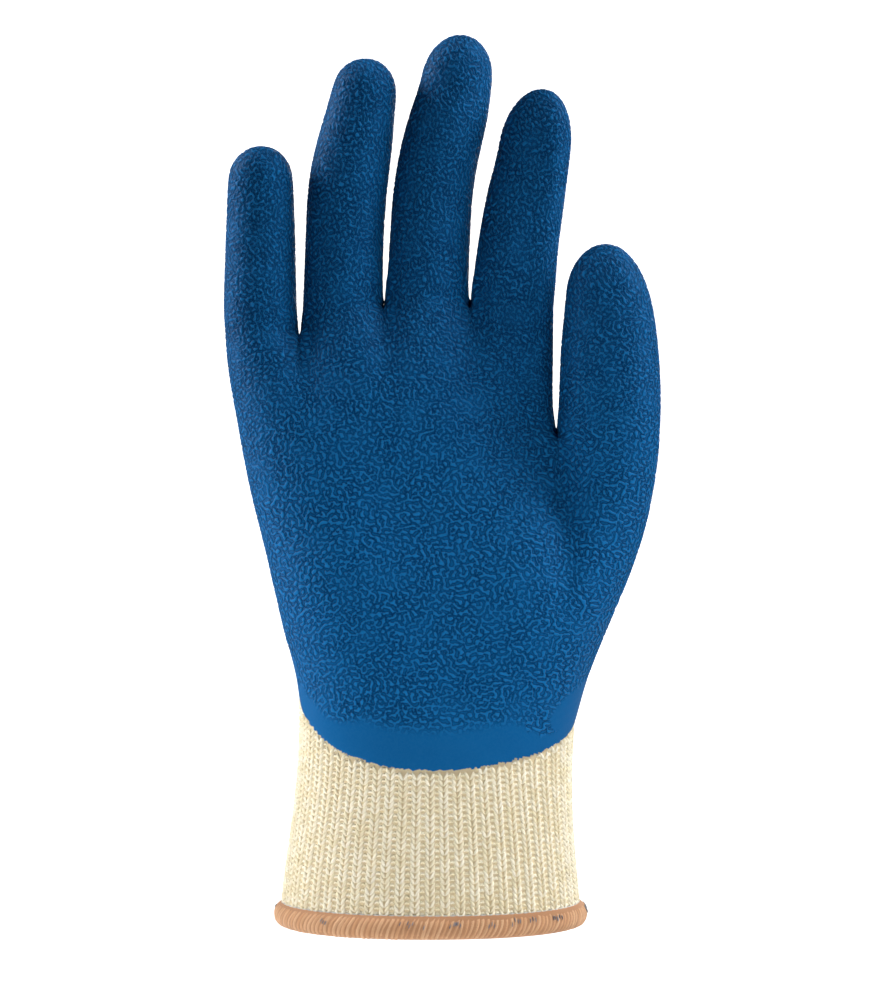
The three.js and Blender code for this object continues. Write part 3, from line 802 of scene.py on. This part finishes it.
def makeCuff(skin, material):
    heights = np.arange(liner["cuffFrom"], liner["cuffTo"], liner["course"])
    knit = []
    purl = []
    for i, angle in enumerate(cuffColumns(2 * liner["ribs"], liner["ribHeight"])):
        stitches = [p for p in column(angle, heights) if bare(skin, p[0], p[1])]
        (knit if i % 2 == 0 else purl).extend(stitches)
    course = {"Height": liner["course"]}
    tree = strandTree("knitStitch", stitchLegs(0.08), material, 5, 3)
    settle(strandPiece("cuffRibs", knit, tree, liner["knit"] | course), "knit")
    arcs = [[(-0.6, -0.20, -0.6), (-0.3, 0.25, 0.3), (0.3, 0.25, 0.3), (0.6, -0.20, -0.6)]]
    tree = strandTree("purlStitch", arcs, material, 4, 3)
    settle(strandPiece("cuffHollows", purl, tree, liner["purl"] | course), "knit")


def fromBehind(x, z):
    # where the back of the knit is, seen straight from behind
    return ground.ray_cast(Vector((x, outside, z)), Vector((0, -1, 0)))


def backRows(skin):
    # each row of the back as runs of points that no rubber covers, one run for the hand or each finger
    rows = []
    xs = np.arange(*liner["backFrom"], liner["backStep"])
    for z in np.arange(liner["cuffTo"], liner["backTo"], liner["course"]):
        runs = []
        run = []
        for x in xs:
            at, facing, index, far = fromBehind(x, z)
            if at is not None and at.y > -0.004 and facing.y > 0.05 and bare(skin, at, facing):
                run.append((at, facing))
            elif run:
                runs.append(run)
                run = []
        if run:
            runs.append(run)
        for run in runs:
            if len(run) > 3:
                rows.append((z, run))
    return rows


def makeBack(skin, material):
    # plain stitches: columns keep an even width, measured from the middle of the hand or finger
    places = []
    for z, run in backRows(skin):
        across = np.array([tuple(p[0]) for p in run])
        far = np.concatenate([[0], np.cumsum(np.linalg.norm(np.diff(across, axis=0), axis=1))])
        left, right = across[0, 0], across[-1, 0]
        wholeHand = left < 0 < right and right - left > 0.03
        centre = 0.0 if wholeHand else across[:, 0].mean()
        middle = np.interp(centre, across[:, 0], far)
        wale = liner["wale"]
        for k in range(math.ceil(-middle / wale), math.floor((far[-1] - middle) / wale) + 1):
            x = float(np.interp(middle + k * wale, far, across[:, 0]))
            at, facing, index, away = fromBehind(x, z)
            if at is None:
                continue
            up = (Vector((0, 0, 1)) - facing * facing.z).normalized()
            places.append((at, facing, up))
    tree = strandTree("plainStitch", stitchLegs(0.06), material, 4, 3)
    for name, above in (("backLower", False), ("backUpper", True)):
        half = [p for p in places if (p[0].z >= liner["backSplit"]) == above]
        settle(strandPiece(name, half, tree, liner["plain"] | {"Height": liner["course"]}), "knit")


# The overlocked hem and the pale thread above it
hem = {
    "levels": 2,
    "strands": 170,
    "thickness": 0.00072,  # radius of a strand
    "slant": 0.0011,  # how far a strand leans over on its way up
    "middle": 0.0031,  # height of the middle of the bead
    "threadHeights": (0.0064, 0.0080),
    "threadSizes": {
        "Width": 0.0021, "Height": 0.0006, "Depth": 0.0008, "Yarn": 0.00022, "Uneven": 0.04, "Seed": 5,
    },
    "fibre": 0.00014,
    "fibreTufts": 26,
    # darker than the thread: painted shade in the gaps between the strands
    "under": srgb(182, 134, 98),
    "tan": (srgb(202, 152, 112), srgb(216, 172, 134)),
    "pale": (srgb(196, 194, 186), srgb(222, 220, 212)),
    "grey": (srgb(92, 98, 112), srgb(140, 142, 148)),
}


def pathTree(name, material):
    # makes a strand along every line of a mesh of edges
    tree, given, out = strandScaffold(name, ("Yarn",), "Sides")
    line = addNode(tree, "GeometryNodeMeshToCurve", {"Mesh": given["Geometry"]})
    along = tree.nodes.new("GeometryNodeSplineParameter").outputs["Factor"]
    ends = product(tree, ramp(tree, along, 0.0, 0.15, 0.5, 1.0), ramp(tree, along, 1.0, 0.85, 0.5, 1.0))
    soft = tube(tree, line.outputs[0], given["Sides"], product(tree, ends, given["Yarn"]))
    realised(tree, soft, material, out["Geometry"])
    return tree


def pathPiece(name, paths, tree, sizes, seed):
    random = np.random.default_rng(seed)
    at = [p for path in paths for p in path]
    edges = []
    start = 0
    for path in paths:
        edges += [(start + i, start + i + 1) for i in range(len(path) - 1)]
        start += len(path)
    mesh = bpy.data.meshes.new(name)
    mesh.from_pydata([tuple(p) for p in at], edges, [])
    floatAttribute(mesh, "tone", np.repeat(random.uniform(0, 1, len(paths)), [len(p) for p in paths]))
    return grown(name, mesh, tree, sizes)


def beadPath(bead, angle, turns, sink, slant):
    # points round the bead from below to above, a little under its surface
    way = Vector((math.cos(angle), math.sin(angle), 0))
    tangent = Vector((-way.y, way.x, 0))
    knit = ground.ray_cast(way * outside + Vector((0, 0, 0.003)), -way)[0]
    centre = Vector((knit.x, knit.y, hem["middle"])) + way * 0.0003
    path = []
    for t in turns:
        a = math.radians(t)
        out = way * math.cos(a) + Vector((0, 0, math.sin(a)))
        start = centre + out * 0.009 + tangent * (slant * t / 180)
        hit = bead.ray_cast(start, -out)[0]
        if hit is not None:
            path.append(hit - out * sink)
    return path


def makeHem():
    mesh = subdivided(cageOf("cuff_hem"), "cuffHem", hem["levels"])
    # the bead under the strands is darker: painted shade between them
    material = yarnMaterial("hemUnderShade", hem["under"], hem["under"], 0.00010)
    settle(newPiece("cuffHem", mesh, material), "thread", "cuff_hem")
    bead = surfaceOf(mesh)
    material = yarnMaterial("hemThread", *hem["tan"], 0.00024)
    turns = np.linspace(-112, 96, 10)
    random = np.random.default_rng(3)
    paths = []
    for a in cuffColumns(hem["strands"], 0.004):
        a += random.uniform(-0.003, 0.003)
        sink = random.uniform(0.00048, 0.00062)
        paths.append(beadPath(bead, a, turns, sink, hem["slant"] * random.uniform(1.5, 2.6)))
    tree = pathTree("overlock", material)
    settle(pathPiece("hemStitches", paths, tree, {"Yarn": hem["thickness"], "Sides": 6}, 4), "thread")
    pale = yarnMaterial("paleThread", *hem["pale"], 0.00008)
    places = []
    for angle in cuffColumns(2 * liner["ribs"], 0.0062):
        places += column(angle, hem["threadHeights"])[:1]
    dash = [[(-0.55, -0.3, 0.0), (-0.3, 0.3, 1.0), (0.3, -0.3, 1.0), (0.55, 0.3, 0.0)]]
    tree = strandTree("threadLine", dash, pale, 5, 4)
    settle(strandPiece("threadLine", places, tree, hem["threadSizes"]), "thread")
    # a few dark fibres caught in the overlock
    random = np.random.default_rng(9)
    paths = []
    for a in np.sort(random.uniform(0, 2 * math.pi, hem["fibreTufts"])):
        for k in range(random.integers(1, 4)):
            top = random.uniform(25, 60)
            turns = np.linspace(top - 26, top, 4)
            paths.append(beadPath(bead, a + k * 0.022, turns, -0.00028, hem["slant"] * 2))
    tree = pathTree("darkFibres", yarnMaterial("greyFibre", *hem["grey"], 0.00005))
    paths = [p for p in paths if len(p) == 4]
    settle(pathPiece("hemFibres", paths, tree, {"Yarn": hem["fibre"], "Sides": 5}, 6), "thread")


makeStudio()
yarnNodes = yarnGroup()
ground, plainGround = makeGround()
skin = makeCoating()
cream = yarnMaterial("creamYarn", *liner["yarn"], 0.00010)
makeCuff(skin, cream)
makeBack(skin, cream)
makeHem()
